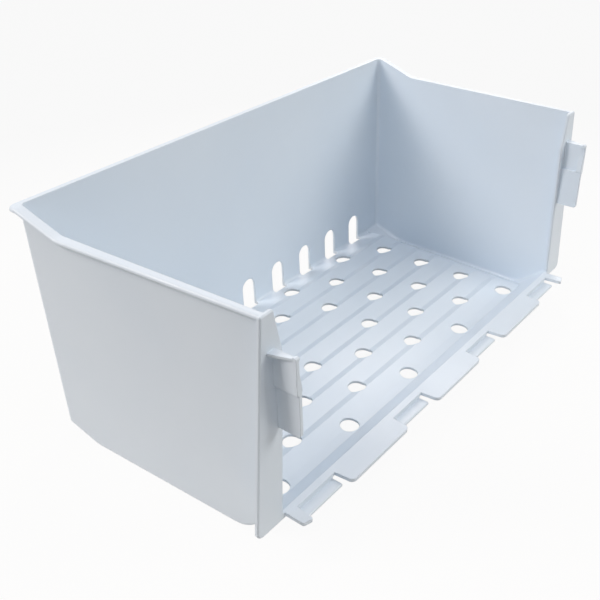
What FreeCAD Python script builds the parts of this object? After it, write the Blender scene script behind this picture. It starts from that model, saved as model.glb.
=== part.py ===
import FreeCAD, Part
import math
import os

V = FreeCAD.Vector

# Drawer body moulded in one piece: open top, open front, draining floor.
# Millimetres. +Z is up, the open front looks to -Y, X = 0 is the mirror plane.
# Z = 0 is the underside of the two runners, Y = 0 is the middle of the depth.

# Overall size
DEPTH = 225.0            # front tab tips to the back of the lip
WIDTH_REAR = 420.6       # over the lip at the back
WIDTH_FRONT = 394.6      # over the lip at the front, the sides close in slightly
Z_SIDE_RIM = 175.5       # top of the side walls
BACK_RISE = 12.0         # the back wall's top stands above them by this
WALL = 2.0               # moulded wall

# Rim lip, turned outward round the back and the sides
LIP_BACK = 4.0           # overhang behind the back wall
LIP_REAR = 5.6           # overhang beside the side walls at their back end
LIP_FRONT = 2.5          # overhang beside the side walls at their front end
LIP_HIGH = 4.5
LIP_CORNER = 6.0         # upright corners of the lip
LIP_ROUND = 2.0          # rounding of the top edge
LIP_UNDER = 2.0          # chamfer of the lower edge

# Draft and corners
SIDE_LEAN = 1.0          # side walls lean out by this over the side height
BACK_LEAN = 2.0          # back wall leans out by this over the back height
REAR_RADIUS = 5.5       # upright corners at the back, outside
FOOT_RADIUS = 2.5        # bottom edges, outside
GUTTER_RADIUS = 3.0      # foot of the walls, inside

# The rim drops from the back height to the side height along this run
DROP_START = 8.5         # behind this distance from the lip's back the rim is high
DROP_RUN = 35.0
DROP_BLEND = 12.0        # radius that softens both ends of the drop

# Draining floor: a raised panel that slopes down to a gutter on each side
GUTTER_WIDE = 15.0       # from the panel's edge to the side wall
GUTTER_SLOPE = 27.0      # fall of the panel's edge, in degrees
RUNNER_WIDE = 7.0        # each runner, measured from the outside of the wall
PANEL_Z = 9.5            # top of the panel along the hole rows
CREST = 2.2              # height of the ridges between the hole rows
RISE_RUN = 6.5           # length of the steep front side of each dip
COLUMNS = 9
COL_PITCH = 40.0
HALF_ROWS = 8
HALF_PITCH = 22.1        # hole rows are staggered by half a pitch
ROW_Y = 88.0             # rearmost hole row
HOLE_DIA = 14.6
CORNER_RADIUS = 3.0      # between the panel and the back wall
GATE_COLUMN = 0          # the middle column has no hole at the injection point
GATE_ROW = 3

# Front ramp of the floor, up to the tab level
TAB_TOP = 25.3
TAB_THICK = 2.6
RAMP_Y = -57.5           # where the flat underside starts to curve up
RAMP_RADIUS = 24.0
RAMP_ANGLE = 38.0
RAMP_EDGE = 4.0          # radius under the front edge of the ramp

# Rear lead-in: the runners rise towards the back wall
LEAD_Y = 71.5
LEAD_RADIUS = 20.0
LEAD_ANGLE = 17.0

# Back wall slots, one behind every hole column, open through the floor corner
SLOT_WIDE = 16.0
SLOT_TOP = 37.0
SLOT_FOOT = 4.0          # how far the slot reaches into the floor

# Front edge: tabs at floor level with catch ledges in the gaps between them
TAB_OUT = 17.5           # tab tips in front of the flange plates
EDGE_OUT = 3.0           # floor edge in front of the flange plates
GAP_INNER = (33.0, 70.0)
GAP_WIDE = 38.7          # the outermost gaps
END_INSET = 10.4         # outer side of the last tab, inward from the lip's front end
END_WIDE = 8.7
END_BACK = 2.5           # its outer corner stands back by this
END_ROUND = 1.5
TAB_ROUND = 4.0
TAB_LEAN = 1.4           # tabs narrow by this per side towards the tip
LEDGE_DROP = 4.2         # ledge top below the tab top
LEDGE_THICK = 2.6
LEDGE_OUT = 8.0
LEDGE_CLEAR = 2.0        # gap between a ledge and the tabs beside it
LEDGE_ROUND = 1.2

# Flange plates on the front edge of the side walls, measured across from the lip's front end
FLANGE_THICK = 2.6
FLANGE_BOTTOM = 20.5
FLANGE_FOOT_OUT = 15.1   # outward
FLANGE_FOOT_IN = 13.3    # this and the next three are inward, two with their height
FLANGE_IN_LOW = (9.5, 33.5)
FLANGE_IN_HIGH = (16.3, 145.5)
FLANGE_IN_TOP = 10.3
FLANGE_CHAMFER = 0.8
FLANGE_FOOT_ROUND = 5.0
FLANGE_PROUD = 0.6       # the plate's top corner stands out past the end of the lip
FLANGE_TIP = 1.2         # rounding of that corner
FLANGE_BEND = 25.0

# Snap clips that stand forward from the flange plates
CLIP_INSET = 10.9        # inner face of the lower half, inward from the lip's front end
CLIP_THICK = 2.4
CLIP_SHIFT = 1.5         # the upper half stands further out
CLIP_BOTTOM = 95.8
CLIP_STEP = 126.5
CLIP_TOP = 151.3
CLIP_OUT = 17.0
CLIP_LAP = 1.6           # overlap of the two halves
CLIP_ROUND = 2.0
BARB_DEEP = 2.2
BARB_LIFT = 2.0
BARB_ROUND = 0.6
BARB_WIDE = 4.5
WEB_ROOT = 5.0
WEB_THICK = 1.8
BEAD_RADIUS = 1.7
BEAD_PROUD = 0.8

# Derived planes and slopes
Y_LIP = DEPTH / 2.0
Y_TIP = -DEPTH / 2.0
Y_WALL = Y_LIP - LIP_BACK
Y_FLANGE = Y_TIP + TAB_OUT       # front face of the two flange plates
Y_EDGE = Y_FLANGE - EDGE_OUT     # front edge of the floor
Y_ROOT = Y_FLANGE + FLANGE_THICK / 2.0
HALF_REAR = WIDTH_REAR / 2.0 - LIP_REAR
X_SIDE = WIDTH_FRONT / 2.0       # side of the lip's front end
HALF_FRONT = X_SIDE - LIP_FRONT
X_END = X_SIDE - END_INSET       # outer side of the last tab
GAP_OUTER = (X_END - END_WIDE - GAP_WIDE, X_END - END_WIDE)
TAPER = (HALF_REAR - HALF_FRONT) / (Y_WALL - Y_FLANGE)
Z_BACK_RIM = Z_SIDE_RIM + BACK_RISE
LEAN_X = SIDE_LEAN / Z_SIDE_RIM
LEAN_Y = BACK_LEAN / Z_BACK_RIM
SLOPE = math.radians(GUTTER_SLOPE)
SPARE = 10.0                     # how far cutting blocks pass the faces that they cut
FAR = 2.0 * (WIDTH_REAR + DEPTH)
PICK = 1.0                       # margin by which edges are told apart
TOUCH = 0.01                     # points this near to a face lie on it


def yz(y, z):
    """Point in the mirror plane."""
    return V(0, y, z)


def half_at(y, z, inset):
    """Half width of the side walls at depth y and height z."""
    return HALF_REAR + TAPER * (y - Y_WALL) + LEAN_X * (z - Z_SIDE_RIM) - inset


def back_at(z, inset):
    """Depth of the back wall at height z."""
    return Y_WALL + LEAN_Y * (z - Z_BACK_RIM) - inset


def lip_half(y):
    """Half width over the lip at depth y."""
    share = (y - Y_FLANGE) / (Y_LIP - Y_FLANGE)
    return (WIDTH_FRONT + (WIDTH_REAR - WIDTH_FRONT) * share) / 2.0


def panel_edge(y, inset):
    """Half width of the floor panel at depth y."""
    return half_at(y, PANEL_Z, WALL + GUTTER_WIDE + inset)


def flat(points):
    """Flat face with straight edges through the points."""
    return Part.Face(Part.makePolygon(points + [points[0]]))


def ring(front, rear, y_front, y_back, z):
    """Four corners at one height, mirrored about X = 0."""
    return [V(front, y_front, z), V(rear, y_back, z), V(-rear, y_back, z), V(-front, y_front, z)]


def frustum(low, high):
    """Block with flat faces between two rings."""
    faces = [flat(low[::-1]), flat(high)]
    for i in range(4):
        j = (i + 1) % 4
        faces.append(flat([low[i], low[j], high[j], high[i]]))
    return Part.makeSolid(Part.makeShell(faces))


def soft_rear(solid, y_front, radius):
    """The block with its two upright edges at the back rounded."""
    upright = [e for e in solid.Edges if e.BoundBox.YMin > y_front + PICK and e.BoundBox.ZLength > PICK]
    return solid.makeFillet(radius, upright)


def form(z_low, z_high, inset, y_front, radius):
    """Tapered block of the drawer between two heights, inset from the outer walls."""
    rings = []
    for z in (z_low, z_high):
        y_back = back_at(z, inset)
        rings.append(ring(half_at(y_front, z, inset), half_at(y_back, z, inset), y_front, y_back, z))
    return soft_rear(frustum(rings[0], rings[1]), y_front, radius)


def side_prism(edges, x_low, x_high):
    """Solid from a closed profile drawn in the Y-Z plane."""
    face = Part.Face(Part.Wire(edges))
    face.translate(V(x_low, 0, 0))
    return face.extrude(V(x_high - x_low, 0, 0))


def chain(points):
    """Straight edges through the points, closed."""
    loop = points + [points[0]]
    return [Part.makeLine(a, b) for a, b in zip(loop[:-1], loop[1:])]


def swing(core, radius, angle):
    """Point on a circle in the side view, the angle counted from straight down to the back."""
    return core + yz(radius * math.sin(angle), -radius * math.cos(angle))


def floor_curve(offset):
    """Side view of the floor from front to back: level edge, ramp, flat, lead-in.

    offset 0 is the underside, offset WALL is the top side.
    """
    ramp = math.radians(RAMP_ANGLE)
    lead = math.radians(LEAD_ANGLE)
    core = yz(RAMP_Y, RAMP_RADIUS)
    r_low = RAMP_RADIUS - offset
    r_high = RAMP_EDGE + offset
    a = swing(core, r_low, 0.0)
    a_mid = swing(core, r_low, -ramp / 2.0)
    b = swing(core, r_low, -ramp)
    z_edge = TAB_TOP - TAB_THICK + offset
    z_c = z_edge - r_high * (1.0 - math.cos(ramp))
    c = yz(b.y - (z_c - b.z) / math.tan(ramp), z_c)
    knee = c - yz(r_high * math.sin(ramp), r_high * math.cos(ramp))
    c_mid = knee + yz(r_high * math.sin(ramp / 2.0), r_high * math.cos(ramp / 2.0))
    d = knee + yz(0, r_high)
    heel = yz(LEAD_Y, LEAD_RADIUS)
    r_lead = LEAD_RADIUS - offset
    e = swing(heel, r_lead, 0.0)
    e_mid = swing(heel, r_lead, lead / 2.0)
    f = swing(heel, r_lead, lead)
    g = f + yz(math.cos(lead), math.sin(lead)) * FAR
    return [
        Part.makeLine(yz(-FAR, z_edge), d),
        Part.Arc(d, c_mid, c).toShape(),
        Part.makeLine(c, b),
        Part.Arc(b, a_mid, a).toShape(),
        Part.makeLine(a, e),
        Part.Arc(e, e_mid, f).toShape(),
        Part.makeLine(f, g),
    ]


def below_floor(offset):
    """Everything under the floor curve."""
    edges = floor_curve(offset)
    front = edges[0].Vertexes[0].Point
    back = edges[-1].Vertexes[-1].Point
    low_back = yz(back.y, -FAR)
    low_front = yz(front.y, -FAR)
    edges.append(Part.makeLine(back, low_back))
    edges.append(Part.makeLine(low_back, low_front))
    edges.append(Part.makeLine(low_front, front))
    return side_prism(edges, -FAR, FAR)


def foot_edges(shape, offset):
    """Edges where the floor meets the side walls and the back wall."""
    curve = Part.Wire(floor_curve(offset))
    found = []
    for edge in shape.Edges:
        box = edge.BoundBox
        middle = edge.valueAt((edge.FirstParameter + edge.LastParameter) / 2.0)
        on_floor = curve.distToShape(Part.Vertex(yz(middle.y, middle.z)))[0] < TOUCH
        across = box.XMin < -PICK and box.XMax > PICK
        at_back = box.YMin > Y_WALL - REAR_RADIUS
        if on_floor and (at_back or not across):
            found.append(edge)
    return found


def rounded(points, radii):
    """Closed wire through coplanar points, each corner rounded by its radius."""
    count = len(points)
    ends = []
    for i in range(count):
        here = points[i]
        back = points[i - 1] - here
        ahead = points[(i + 1) % count] - here
        back.normalize()
        ahead.normalize()
        radius = radii[i]
        if radius <= 0.0:
            ends.append((here, None, here))
            continue
        half = math.acos(back.dot(ahead)) / 2.0
        reach = radius / math.tan(half)
        middle = back + ahead
        middle.normalize()
        bulge = here + middle * (radius / math.sin(half) - radius)
        ends.append((here + back * reach, bulge, here + ahead * reach))
    edges = []
    for i in range(count):
        first, bulge, last = ends[i]
        if bulge is not None:
            edges.append(Part.Arc(first, bulge, last).toShape())
        following = ends[(i + 1) % count][0]
        if last.distanceToPoint(following) > 1e-6:
            edges.append(Part.makeLine(last, following))
    return Part.Wire(edges)


def prism(wire, way):
    """Solid swept from a closed flat wire along a straight way."""
    return Part.Face(wire).extrude(way)


def block(x0, x1, y0, y1, z0, z1):
    """Plain box between two corners."""
    return Part.makeBox(x1 - x0, y1 - y0, z1 - z0, V(x0, y0, z0))


def mirrored(shape):
    """The same piece on the other side of the mirror plane."""
    return shape.mirror(V(0, 0, 0), V(1, 0, 0))


def rim_line(shift):
    """Everything above the rim line, the line moved down by shift."""
    high = Z_BACK_RIM - shift
    low = Z_SIDE_RIM - shift
    y_high = Y_LIP - DROP_START
    y_low = y_high - DROP_RUN
    points = [
        yz(-FAR, low),
        yz(y_low, low),
        yz(y_high, high),
        yz(FAR, high),
        yz(FAR, FAR),
        yz(-FAR, FAR),
    ]
    wire = rounded(points, [0, DROP_BLEND, DROP_BLEND, 0, 0, 0])
    wire.translate(V(-FAR, 0, 0))
    return prism(wire, V(2 * FAR, 0, 0))


def rim_height(y):
    """Straight-sided rim height at depth y, without the softened kinks."""
    share = (y - (Y_LIP - DROP_START - DROP_RUN)) / DROP_RUN
    return Z_SIDE_RIM + (Z_BACK_RIM - Z_SIDE_RIM) * min(1.0, max(0.0, share))


def lip_edges(shape, shift):
    """Outer edges of the lip band that follow the rim line, moved down by shift."""
    found = []
    for edge in shape.Edges:
        box = edge.BoundBox
        across = box.XMin < -PICK and box.XMax > PICK and box.YMin < Y_LIP - 0.5 * PICK
        middle = edge.valueAt((edge.FirstParameter + edge.LastParameter) / 2.0)
        on_line = abs(middle.z - (rim_height(middle.y) - shift)) < 0.6 * PICK
        upright = box.ZLength > 0.9 * LIP_HIGH and box.YLength < 2.0 * PICK
        if on_line and not across and not upright:
            found.append(edge)
    return found


# Outer block with its ramp, its lead-in and a rounded foot
outer = form(-SPARE, Z_BACK_RIM + SPARE, 0.0, Y_ROOT, REAR_RADIUS)
outer = outer.cut(below_floor(0.0))
outer = outer.makeFillet(FOOT_RADIUS, foot_edges(outer, 0.0))

# Inside of the shell, open at the front and at the top
cavity = form(-SPARE, Z_BACK_RIM + 2.0 * SPARE, WALL, Y_TIP - SPARE, REAR_RADIUS - WALL)
cavity = cavity.cut(below_floor(WALL))
cavity = cavity.makeFillet(GUTTER_RADIUS, foot_edges(cavity, WALL))

# Lip: a band round the outside that follows the rim line
above_rim = rim_line(0.0)
lip_low = ring(lip_half(Y_ROOT), lip_half(Y_LIP), Y_ROOT, Y_LIP, Z_SIDE_RIM - 2.0 * LIP_HIGH)
lip_high = ring(lip_half(Y_ROOT), lip_half(Y_LIP), Y_ROOT, Y_LIP, Z_BACK_RIM + SPARE)
lip = soft_rear(frustum(lip_low, lip_high), Y_ROOT, LIP_CORNER)
lip = lip.cut(above_rim).common(rim_line(LIP_HIGH))
lip = lip.makeFillet(LIP_ROUND, lip_edges(lip, 0.0))
lip = lip.makeChamfer(LIP_UNDER, lip_edges(lip, LIP_HIGH))
shell = outer.cut(above_rim).fuse(lip).cut(cavity)

# Floor panel with saw-tooth ridges, its long edges sloping down to the gutters
y_panel = Y_ROOT + SPARE
top_points = [yz(FAR, PANEL_Z), yz(ROW_Y, PANEL_Z)]
for row in range(HALF_ROWS - 1):
    y_row = ROW_Y - HALF_PITCH * row
    top_points.append(yz(y_row - RISE_RUN, PANEL_Z + CREST))
    top_points.append(yz(y_row - HALF_PITCH, PANEL_Z))
top_points.append(yz(y_panel, PANEL_Z))
tread = side_prism(chain(top_points + [yz(y_panel, -SPARE), yz(FAR, -SPARE)]), -FAR, FAR)


def panel_wedge(shift):
    """Block between the two sloping edges of the panel, each moved inward by shift."""
    rings = []
    for z in (-SPARE, PANEL_Z + 2.0 * CREST):
        out = (PANEL_Z - z) / math.tan(SLOPE) - shift
        front = panel_edge(Y_TIP, 0.0) + out
        rear = panel_edge(Y_LIP, 0.0) + out
        rings.append(ring(front, rear, Y_TIP, Y_LIP, z))
    return frustum(rings[0], rings[1])


def panel_upright(inset):
    """Block over the panel with upright sides."""
    front = panel_edge(Y_TIP, inset)
    rear = panel_edge(Y_LIP, inset)
    low = ring(front, rear, Y_TIP, Y_LIP, -SPARE)
    high = ring(front, rear, Y_TIP, Y_LIP, Z_SIDE_RIM)
    return frustum(low, high)


panel = tread.common(panel_wedge(0.0)).common(outer)

# At the back the panel stays level between the two lead-ins, with a curb on each side
z_under = PANEL_Z - WALL
y_level = LEAD_Y - SPARE
room = form(z_under, Z_SIDE_RIM, WALL, y_level, REAR_RADIUS - WALL).common(panel_upright(WALL))
back_end = form(z_under, PANEL_Z + LEAD_RADIUS, 0.0, y_level - PICK, REAR_RADIUS)
level = back_end.common(tread).common(panel_upright(0.0))
hollow = form(z_under - SPARE, Z_SIDE_RIM, WALL, y_level - SPARE, REAR_RADIUS - WALL)
sill = back_end.cut(hollow).common(panel_upright(0.0))
curb = back_end.common(below_floor(WALL)).common(panel_upright(0.0)).cut(panel_upright(WALL))

# Hollow underside between the runners
under_points = [p - yz(0, WALL) for p in top_points]
belly = side_prism(chain(under_points + [yz(y_panel, -SPARE), yz(FAR, -SPARE)]), -FAR, FAR)
belly = belly.common(panel_wedge(WALL / math.sin(SLOPE)))
keel_low = ring(half_at(Y_TIP, 0, RUNNER_WIDE), half_at(Y_LIP, 0, RUNNER_WIDE), Y_TIP, Y_LIP, -SPARE)
keel_high = ring(half_at(Y_TIP, 0, RUNNER_WIDE), half_at(Y_LIP, 0, RUNNER_WIDE), Y_TIP, Y_LIP, PANEL_Z)
belly = belly.common(frustum(keel_low, keel_high))

# Soft corner between the panel and the back wall, its upper end just inside the leaning wall
y_corner = back_at(PANEL_Z + 2.0 * CORNER_RADIUS, WALL)
core = yz(y_corner - CORNER_RADIUS, PANEL_Z + CORNER_RADIUS)
bulge = core + yz(CORNER_RADIUS, -CORNER_RADIUS) * math.sqrt(0.5)
foot = yz(core.y, PANEL_Z)
head = yz(y_corner, core.z)
back_low = yz(y_corner + WALL / 2.0, PANEL_Z - WALL / 2.0)
back_high = yz(y_corner + WALL / 2.0, core.z)
front_low = yz(core.y, PANEL_Z - WALL / 2.0)
corner_edges = [
    Part.Arc(foot, bulge, head).toShape(),
    Part.makeLine(head, back_high),
    Part.makeLine(back_high, back_low),
    Part.makeLine(back_low, front_low),
    Part.makeLine(front_low, foot),
]
x_corner = panel_edge(core.y, WALL / 2.0)
corner = side_prism(corner_edges, -x_corner, x_corner)

body = shell.fuse(panel).cut(room)
body = body.fuse([level, curb, sill, corner]).cut(belly)

# Front edge of the floor with its tabs
z_tab = TAB_TOP - TAB_THICK
pieces = [block(-X_END, X_END, Y_EDGE, Y_FLANGE + FLANGE_THICK, z_tab, TAB_TOP)]
tab_spans = [
    (-GAP_INNER[0], GAP_INNER[0]),
    (GAP_INNER[1], GAP_OUTER[0]),
    (GAP_OUTER[1], X_END),
]
for x0, x1 in tab_spans:
    outermost = x1 == X_END
    lean = 0.0 if outermost else TAB_LEAN
    back = END_BACK if outermost else 0.0
    corner_round = END_ROUND if outermost else TAB_ROUND
    points = [
        V(x0, Y_EDGE + EDGE_OUT / 2.0, z_tab),
        V(x0 + TAB_LEAN, Y_TIP, z_tab),
        V(x1 - lean, Y_TIP + back, z_tab),
        V(x1, Y_EDGE + EDGE_OUT / 2.0, z_tab),
    ]
    tab = prism(rounded(points, [0, corner_round, corner_round, 0]), V(0, 0, TAB_THICK))
    pieces.append(tab)
    if x0 > 0.0:
        pieces.append(mirrored(tab))

# Catch ledges in the gaps, hung one step lower on a short upright web
z_ledge = TAB_TOP - LEDGE_DROP - LEDGE_THICK
y_ledge = Y_EDGE - LEDGE_OUT
for x0, x1 in (GAP_INNER, GAP_OUTER):
    a = x0 + LEDGE_CLEAR
    b = x1 - LEDGE_CLEAR
    plate = block(a, b, y_ledge, Y_EDGE + WALL, z_ledge, z_ledge + LEDGE_THICK)
    nose = [e for e in plate.Edges if e.BoundBox.YMax < y_ledge + TOUCH and e.BoundBox.XLength > PICK]
    plate = plate.makeFillet(LEDGE_ROUND, nose)
    web = block(a, b, Y_EDGE, Y_EDGE + WALL, z_ledge, TAB_TOP)
    ledge = plate.fuse(web)
    pieces.append(ledge)
    pieces.append(mirrored(ledge))

# Flange plates
flange_points = [
    V(X_SIDE + FLANGE_PROUD, Y_FLANGE, Z_SIDE_RIM),
    V(X_SIDE + FLANGE_FOOT_OUT, Y_FLANGE, FLANGE_BOTTOM),
    V(X_SIDE - FLANGE_FOOT_IN, Y_FLANGE, FLANGE_BOTTOM),
    V(X_SIDE - FLANGE_FOOT_IN, Y_FLANGE, TAB_TOP),
    V(X_SIDE - FLANGE_IN_LOW[0], Y_FLANGE, TAB_TOP),
    V(X_SIDE - FLANGE_IN_LOW[0], Y_FLANGE, FLANGE_IN_LOW[1]),
    V(X_SIDE - FLANGE_IN_HIGH[0], Y_FLANGE, FLANGE_IN_HIGH[1]),
    V(X_SIDE - FLANGE_IN_TOP, Y_FLANGE, Z_SIDE_RIM),
]
flange_radii = [FLANGE_TIP, FLANGE_FOOT_ROUND, 0, 0, 0, 0, FLANGE_BEND, LIP_ROUND]
flange = prism(rounded(flange_points, flange_radii), V(0, FLANGE_THICK, 0))
front = [e for e in flange.Edges if e.BoundBox.YMax < Y_FLANGE + TOUCH]
flange = flange.makeChamfer(FLANGE_CHAMFER, [e for e in front if e.BoundBox.ZMax > TAB_TOP + 0.5 * PICK])

# Snap clips: a lower plate, an upper plate set further out, a barb, a web and a bead
y_clip = Y_FLANGE - CLIP_OUT
x_clip = X_SIDE - CLIP_INSET
low_points = [
    yz(Y_ROOT, CLIP_BOTTOM),
    yz(y_clip, CLIP_BOTTOM),
    yz(y_clip, CLIP_STEP + CLIP_LAP),
    yz(Y_ROOT, CLIP_STEP + CLIP_LAP),
]
low_wire = rounded(low_points, [0, CLIP_ROUND, 0, 0])
low_wire.translate(V(x_clip, 0, 0))
clip = prism(low_wire, V(CLIP_THICK, 0, 0))
high_points = [
    yz(Y_ROOT, CLIP_STEP),
    yz(y_clip, CLIP_STEP),
    yz(y_clip, CLIP_TOP),
    yz(Y_ROOT, CLIP_TOP),
]
high_wire = rounded(high_points, [0, 0, CLIP_ROUND, 0])
x_high = x_clip + CLIP_SHIFT
high_wire.translate(V(x_high, 0, 0))
clip = clip.fuse(prism(high_wire, V(CLIP_THICK, 0, 0)))
x_skin = x_high + CLIP_THICK / 2.0
barb_points = [
    V(x_skin, y_clip, CLIP_STEP),
    V(x_high - BARB_DEEP, y_clip, CLIP_STEP + BARB_LIFT),
    V(x_skin, y_clip, CLIP_TOP - BARB_LIFT),
]
barb = prism(rounded(barb_points, [0, BARB_ROUND, 0]), V(0, BARB_WIDE, 0))
clip = clip.fuse(barb)
x_out = x_high + CLIP_THICK
web_points = [
    V(x_skin, Y_ROOT, CLIP_TOP - WEB_THICK),
    V(x_skin, y_clip + CLIP_ROUND, CLIP_TOP - WEB_THICK),
    V(x_out, y_clip + CLIP_ROUND, CLIP_TOP - WEB_THICK),
    V(x_out + WEB_ROOT, Y_ROOT, CLIP_TOP - WEB_THICK),
]
clip = clip.fuse(prism(rounded(web_points, [0, 0, 0, 0]), V(0, 0, WEB_THICK)))
bead_at = V(x_high - BEAD_PROUD, y_clip + BEAD_RADIUS, CLIP_TOP - BEAD_RADIUS + BEAD_PROUD)
bead = Part.makeCylinder(BEAD_RADIUS, CLIP_THICK + BEAD_PROUD, bead_at, V(1, 0, 0))
clip = clip.fuse(bead)

floor_edge = pieces[0].fuse(pieces[1:]).removeSplitter()
side_plate = flange.fuse(clip)
body = body.fuse(floor_edge)
body = body.fuse(side_plate)
body = body.fuse(mirrored(side_plate))

# Drain holes, staggered, with the closed spot at the injection point
middle_column = (COLUMNS - 1) / 2.0
cuts = []
for column in range(COLUMNS):
    x_hole = (column - middle_column) * COL_PITCH
    first = (column + 1) % 2
    for row in range(first, HALF_ROWS, 2):
        if x_hole == GATE_COLUMN and row == GATE_ROW:
            continue
        at = V(x_hole, ROW_Y - HALF_PITCH * row, 0.0)
        cuts.append(Part.makeCylinder(HOLE_DIA / 2.0, PANEL_Z + 2.0 * CREST, at))

# Back wall slots with a round head and a foot through the floor corner
half = SLOT_WIDE / 2.0
for column in range(COLUMNS):
    x_slot = (column - middle_column) * COL_PITCH
    head_points = [
        V(x_slot - half, core.y, 0.0),
        V(x_slot + half, core.y, 0.0),
        V(x_slot + half, core.y, SLOT_TOP),
        V(x_slot - half, core.y, SLOT_TOP),
    ]
    slot = prism(rounded(head_points, [0, 0, half, half]), V(0, SPARE + WALL, 0))
    y_foot = y_corner - SLOT_FOOT
    foot = block(x_slot - half, x_slot + half, y_foot, y_corner + SPARE, 0.0, PANEL_Z + CREST / 2.0)
    cuts.append(slot.fuse(foot).removeSplitter())

body = body.cut(cuts)
body = body.removeSplitter()

os.makedirs("parts", exist_ok=True)
print("volume", round(body.Volume), "valid", body.isValid(), "solids", len(body.Solids))
print("box", body.optimalBoundingBox())
body.exportStep("parts/drawer_body.step")
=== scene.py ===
# %% [markdown]
# A fridge drawer body, dressed for a studio photograph.
# The drawer is one injection moulding in a pale, cool white plastic, and nothing is screwed or
# glued to it.
# Every wall, hole, clip and lip is already in the solid model, so none is modelled a second time here.
# That leaves three things to learn: where the camera stands, how the plastic takes light,
# and what it stands on.

# %% load the solid model
import math

import bmesh
import bpy
from mathutils import Euler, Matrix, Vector


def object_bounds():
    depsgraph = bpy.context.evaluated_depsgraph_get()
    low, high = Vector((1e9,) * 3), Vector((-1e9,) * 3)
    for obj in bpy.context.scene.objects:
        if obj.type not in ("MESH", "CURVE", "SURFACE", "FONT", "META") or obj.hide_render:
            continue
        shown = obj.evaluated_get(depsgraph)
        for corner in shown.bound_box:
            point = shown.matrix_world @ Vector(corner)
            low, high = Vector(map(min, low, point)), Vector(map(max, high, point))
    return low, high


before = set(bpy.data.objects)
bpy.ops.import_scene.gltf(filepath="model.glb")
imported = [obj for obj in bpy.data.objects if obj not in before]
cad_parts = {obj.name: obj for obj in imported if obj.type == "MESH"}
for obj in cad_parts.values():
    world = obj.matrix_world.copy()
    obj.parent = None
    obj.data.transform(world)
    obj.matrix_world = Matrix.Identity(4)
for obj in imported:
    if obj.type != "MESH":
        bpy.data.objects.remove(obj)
cad_low, cad_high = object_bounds()
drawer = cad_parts["drawer_body"]
print("drawer size in mm:", [round(1000.0 * side, 1) for side in cad_high - cad_low])

# %% [markdown]
# The camera comes first, because every later choice is judged through it.
# It looks down into the open front from the left, so that the floor holes, two inner walls and
# one outer wall show together.
# It could be placed by eye, but the floor holes form a regular grid, and a regular grid gives
# the place, the angles and the lens by calculation.
# With those values the picture needs no shift, so the other views stay centred too.

# %% place the camera
CAMERA_AT = (-0.4590, -0.3435, 0.4072)
CAMERA_TURN = (58.387, 1.666, -50.798)
LENS_MM = 49.35
SENSOR_MM = 36.0

scene = bpy.context.scene
camera_data = bpy.data.cameras.new("studio_camera")
camera_data.sensor_fit = "HORIZONTAL"
camera_data.sensor_width = SENSOR_MM
camera_data.lens = LENS_MM
camera_data.clip_start = 0.01
camera = bpy.data.objects.new("studio_camera", camera_data)
camera.location = Vector(CAMERA_AT)
camera.rotation_euler = Euler([math.radians(angle) for angle in CAMERA_TURN], "XYZ")
scene.collection.objects.link(camera)
scene.camera = camera
distance = (camera.location - (cad_low + cad_high) / 2.0).length
print("camera stands", round(1000.0 * distance), "mm from the middle of the drawer")

# %% [markdown]
# The plastic is the whole look of this object, so it gets a material built from nodes.
# A single pale colour would look like plaster: real moulded plastic has faint clouds where the
# melt flowed, a gloss that is not quite even, and a skin that copies the polish of the steel mould.
# An image could carry that, but noise on Object coordinates needs no unwrapping, stays at its true
# size in millimetres and shows no seam between the walls.
# The helper below adds one noise texture at a size in metres.

# %% a helper for noise at a real size
plastic = bpy.data.materials.new("cool_white_plastic")
plastic.use_nodes = True
nodes = plastic.node_tree.nodes
links = plastic.node_tree.links
skin = nodes["Principled BSDF"]
place = nodes.new("ShaderNodeTexCoord")


def noise_of_size(metres, detail, stretch=(1.0, 1.0, 1.0)):
    """Noise whose blotches are about this many metres across."""
    mapping = nodes.new("ShaderNodeMapping")
    mapping.inputs["Scale"].default_value = stretch
    texture = nodes.new("ShaderNodeTexNoise")
    texture.inputs["Scale"].default_value = 1.0 / metres
    texture.inputs["Detail"].default_value = detail
    links.new(place.outputs["Object"], mapping.inputs["Vector"])
    links.new(mapping.outputs["Vector"], texture.inputs["Vector"])
    return texture.outputs["Fac"]


print("plastic started with", len(nodes), "nodes")

# %% [markdown]
# Colour: a pale blue-grey white.
# Two tones a little apart are mixed by wide, soft clouds, about the size of a hand.
# Both are paler than the inside looks, because light that bounces from wall to wall takes
# the tint again at each bounce.
# The difference is only a few percent, which the eye reads as one colour with some life in it.
# Most of the noise lies between 0.3 and 0.7, so that range is spread over the whole change.

# %% cloudy colour
NOISE_LOW = 0.3
NOISE_HIGH = 0.7
CLOUD_SIZE = 0.09
COOL_TONE = (0.732, 0.824, 0.914, 1.0)
PALE_TONE = (0.762, 0.848, 0.930, 1.0)

clouds = nodes.new("ShaderNodeValToRGB")
clouds.color_ramp.elements[0].position = NOISE_LOW
clouds.color_ramp.elements[0].color = COOL_TONE
clouds.color_ramp.elements[1].position = NOISE_HIGH
clouds.color_ramp.elements[1].color = PALE_TONE
links.new(noise_of_size(CLOUD_SIZE, detail=3.0), clouds.inputs["Fac"])
links.new(clouds.outputs["Color"], skin.inputs["Base Color"])
print("clouds of", round(1000.0 * CLOUD_SIZE), "mm between", COOL_TONE[:3], "and", PALE_TONE[:3])

# %% [markdown]
# Gloss: satin, with fainter and brighter patches from handling and from the melt's flow.
# Roughness carries that better than colour does, because it only shows where light is mirrored.
# The noise is stretched along the drawer's depth, the way the melt ran along the walls.

# %% uneven gloss
PATCH_SIZE = 0.025
ALONG_DEPTH = (1.0, 0.45, 1.0)
SMOOTHEST = 0.30
DULLEST = 0.42
PLASTIC_IOR = 1.54

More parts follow.
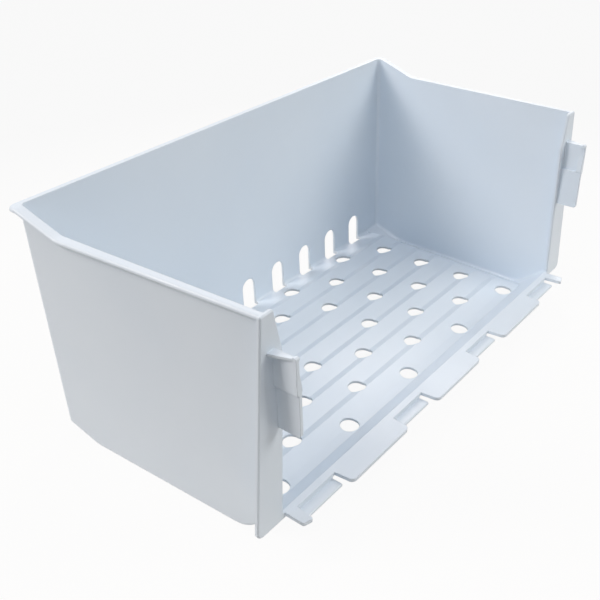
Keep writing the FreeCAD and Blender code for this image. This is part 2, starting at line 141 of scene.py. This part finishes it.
gloss = nodes.new("ShaderNodeMapRange")
gloss.inputs["From Min"].default_value = NOISE_LOW
gloss.inputs["From Max"].default_value = NOISE_HIGH
gloss.inputs["To Min"].default_value = SMOOTHEST
gloss.inputs["To Max"].default_value = DULLEST
links.new(noise_of_size(PATCH_SIZE, detail=4.0, stretch=ALONG_DEPTH), gloss.inputs["Value"])
links.new(gloss.outputs["Result"], skin.inputs["Roughness"])
skin.inputs["IOR"].default_value = PLASTIC_IOR
print("roughness from", SMOOTHEST, "to", DULLEST)

# %% [markdown]
# Edges: no edge of a moulding is sharp, because the cutter that made the mould leaves a small radius.
# Rounding every edge of the solid would multiply its faces for something under a millimetre wide.
# The Bevel node rounds them in the shading only: near an edge it turns the normal, so the clip's
# step, the tabs and the plates catch a thin line of light, and the mesh stays as it is.

# %% softened edges
EDGE_RADIUS = 0.0007

edges = nodes.new("ShaderNodeBevel")
edges.samples = 6
edges.inputs["Radius"].default_value = EDGE_RADIUS
print("edge radius in mm:", round(1000.0 * EDGE_RADIUS, 2))

# %% [markdown]
# Skin: thin moulded walls are never quite flat.
# The waves are far too shallow to model, so they go into the bump, where they bend the
# reflections a little.
# A fine grain would be wrong here, because a polished mould leaves none.

# %% shallow waves
WAVE_SIZE = 0.055
WAVE_HEIGHT = 0.0005
WAVE_STRENGTH = 0.3

wave = nodes.new("ShaderNodeBump")
wave.inputs["Strength"].default_value = WAVE_STRENGTH
wave.inputs["Distance"].default_value = WAVE_HEIGHT
links.new(noise_of_size(WAVE_SIZE, detail=1.0), wave.inputs["Height"])
links.new(edges.outputs["Normal"], wave.inputs["Normal"])
links.new(wave.outputs["Normal"], skin.inputs["Normal"])
print("waves", round(1000.0 * WAVE_SIZE), "mm long, with a bump strength of", WAVE_STRENGTH)

# %% [markdown]
# The finished plastic replaces the plain one that the solid model brings along.
# Only the slot changes: the mesh stays as it is, so the picture shows the true part.

# %% put the plastic on the drawer
drawer.data.materials.clear()
drawer.data.materials.append(plastic)
print("drawer slots:", [material.name for material in drawer.data.materials])

# %% [markdown]
# The drawer stands on a plain pale floor that runs out of sight in every direction.
# One wide sheet is enough: a curved backdrop would only show if the camera looked across the
# horizon, and from above it never does.
# It lies a hair below the drawer, so that the two never share a plane.

# %% floor sheet
FLOOR_HALF = 6.0
FLOOR_GAP = 0.0002

floor_mesh = bpy.data.meshes.new("studio_floor")
sheet = bmesh.new()
bmesh.ops.create_grid(sheet, x_segments=1, y_segments=1, size=FLOOR_HALF)
bmesh.ops.translate(sheet, verts=sheet.verts, vec=Vector((0.0, 0.0, cad_low.z - FLOOR_GAP)))
sheet.to_mesh(floor_mesh)
sheet.free()
floor = bpy.data.objects.new("studio_floor", floor_mesh)
scene.collection.objects.link(floor)
print("floor is", 2.0 * FLOOR_HALF, "m wide")

# %% [markdown]
# The paper has two jobs, so its material has two halves.
# The first half is lit: it keeps the soft shadow and throws light back on to the drawer.
# That light is painted into the paper's colour: near the drawer the paper has a lit tone, and beyond
# it the colour fades to dark, a painted pool of light, so walls and plates are brightest at the foot
# and darken upwards.
# A spherical gradient on Object coordinates falls from 1 at the middle to 0 at one metre, and a
# colour ramp turns that into the painted fade.

# %% paper with a painted pool of light near the drawer
POOL_WHITE = 0.40
POOL_EDGE = 0.70
# painted pool of light: the paper's colour is a lit tone near the drawer and a dark tone beyond it
PAINTED_POOL_TONE = (0.68, 0.66, 0.63, 1.0)
PAINTED_FALLOFF_TONE = (0.10, 0.10, 0.10, 1.0)

paper = bpy.data.materials.new("white_paper")
paper.use_nodes = True
tree = paper.node_tree
lit = tree.nodes["Principled BSDF"]
lit.inputs["Roughness"].default_value = 0.9
lit.inputs["Specular IOR Level"].default_value = 0.0
around = tree.nodes.new("ShaderNodeTexCoord")
pool = tree.nodes.new("ShaderNodeTexGradient")
pool.gradient_type = "SPHERICAL"
# this ramp paints the fall-off of the pool of light into the paper's colour
painted_pool_fade = tree.nodes.new("ShaderNodeValToRGB")
painted_pool_fade.color_ramp.elements[0].position = 1.0 - POOL_EDGE
painted_pool_fade.color_ramp.elements[0].color = PAINTED_FALLOFF_TONE
painted_pool_fade.color_ramp.elements[1].position = 1.0 - POOL_WHITE
painted_pool_fade.color_ramp.elements[1].color = PAINTED_POOL_TONE
tree.links.new(around.outputs["Object"], pool.inputs["Vector"])
tree.links.new(pool.outputs["Fac"], painted_pool_fade.inputs["Fac"])
tree.links.new(painted_pool_fade.outputs["Color"], lit.inputs["Base Color"])
print("paper fades out between", POOL_WHITE, "and", POOL_EDGE, "m from the middle")

# %% [markdown]
# The second half is plain white, which only the camera and the reflections see.
# The Light Path node tells a ray that comes from the camera, a mirror or a clear thing from one
# that carries soft light between surfaces, so the white shows and adds no soft light of its own.

# %% paper that looks white
OWN_WHITE = 0.94


def seen_or_mirrored(tree):
    """Output that is 1 for camera, mirror and transmission rays, and 0 for all others."""
    path = tree.nodes.new("ShaderNodeLightPath")
    total = path.outputs["Is Camera Ray"]
    for ray in ("Is Glossy Ray", "Is Transmission Ray"):
        either = tree.nodes.new("ShaderNodeMath")
        either.operation = "MAXIMUM"
        tree.links.new(total, either.inputs[0])
        tree.links.new(path.outputs[ray], either.inputs[1])
        total = either.outputs["Value"]
    return total


plain_white = tree.nodes.new("ShaderNodeEmission")
plain_white.inputs["Strength"].default_value = 1.0
share = tree.nodes.new("ShaderNodeMath")
share.operation = "MULTIPLY"
share.inputs[1].default_value = OWN_WHITE
blend = tree.nodes.new("ShaderNodeMixShader")
tree.links.new(seen_or_mirrored(tree), share.inputs[0])
tree.links.new(share.outputs["Value"], blend.inputs["Fac"])
tree.links.new(lit.outputs["BSDF"], blend.inputs[1])
tree.links.new(plain_white.outputs["Emission"], blend.inputs[2])
tree.links.new(blend.outputs["Shader"], tree.nodes["Material Output"].inputs["Surface"])
floor_mesh.materials.append(paper)
print("paper is", OWN_WHITE, "white of its own")

# %% [markdown]
# Light: the corner where the camera stands is dark, which shows in the shaded pockets beside
# the front clips, and the walls are lit from both sides of it.
# So a dim tent gives a little light from everywhere, and the camera sees it as plain white.

# %% tent of light
TENT_LEVEL = 0.21
WHITE = (1.0, 1.0, 1.0, 1.0)

world = bpy.data.worlds.new("white_tent")
scene.world = world
world.use_nodes = True
tree = world.node_tree
tent = tree.nodes["Background"]
tent.inputs["Color"].default_value = WHITE
tent.inputs["Strength"].default_value = TENT_LEVEL
seen = tree.nodes.new("ShaderNodeBackground")
seen.inputs["Color"].default_value = WHITE
seen.inputs["Strength"].default_value = 1.0
choose = tree.nodes.new("ShaderNodeMixShader")
tree.links.new(seen_or_mirrored(tree), choose.inputs["Fac"])
tree.links.new(tent.outputs["Background"], choose.inputs[1])
tree.links.new(seen.outputs["Background"], choose.inputs[2])
tree.links.new(choose.outputs["Shader"], tree.nodes["World Output"].inputs["Surface"])
print("tent strength on the object:", TENT_LEVEL)

# %% [markdown]
# Two soft boxes stand to the left and to the right of the camera.
# The left one is set back, behind the line of the back wall, so that the front plate shades its
# clip and the outer wall fades towards the front.
# A large lamp above lights the floor, the rim and the far inner corner, and a weaker one at the far
# right reaches the left half of the floor and the walls that the camera doesn't see.
# All four are a little warm, which makes the outer walls a neutral grey.


# %% soft lamps
def soft_lamp(name, place_at, look_at, width, watts, tint):
    """Square soft box that shines from one point towards another."""
    data = bpy.data.lights.new(name, "AREA")
    data.size = width
    data.energy = watts
    data.color = tint
    lamp = bpy.data.objects.new(name, data)
    lamp.location = Vector(place_at)
    lamp.rotation_euler = (Vector(look_at) - lamp.location).to_track_quat("-Z", "Y").to_euler()
    scene.collection.objects.link(lamp)
    return lamp


lamps = [
    soft_lamp("lamp_above", place_at=(-0.4, -0.3, 1.5), look_at=(0.05, 0.0, 0.05),
              width=1.2, watts=5.9, tint=(1.0, 0.94, 0.955)),
    soft_lamp("lamp_left", place_at=(-1.15, 0.82, 1.1), look_at=(-0.1, 0.0, 0.08),
              width=0.6, watts=14.8, tint=(1.0, 0.93, 0.885)),
    soft_lamp("lamp_right", place_at=(0.8, -1.4, 1.0), look_at=(0.0, 0.0, 0.08),
              width=0.9, watts=13.4, tint=(1.0, 0.965, 0.92)),
    soft_lamp("lamp_far", place_at=(1.1, 0.5, 0.9), look_at=(0.0, 0.0, 0.08),
              width=0.8, watts=5.4, tint=(1.0, 0.93, 0.91)),
]
print("lamps in watts:", {lamp.name: round(lamp.data.energy, 1) for lamp in lamps})

# %% [markdown]
# The colours are shown as they are, with the Standard transform, so the values above can be
# compared with a photograph directly.

# %% show the colours plainly
scene.view_settings.view_transform = "Standard"
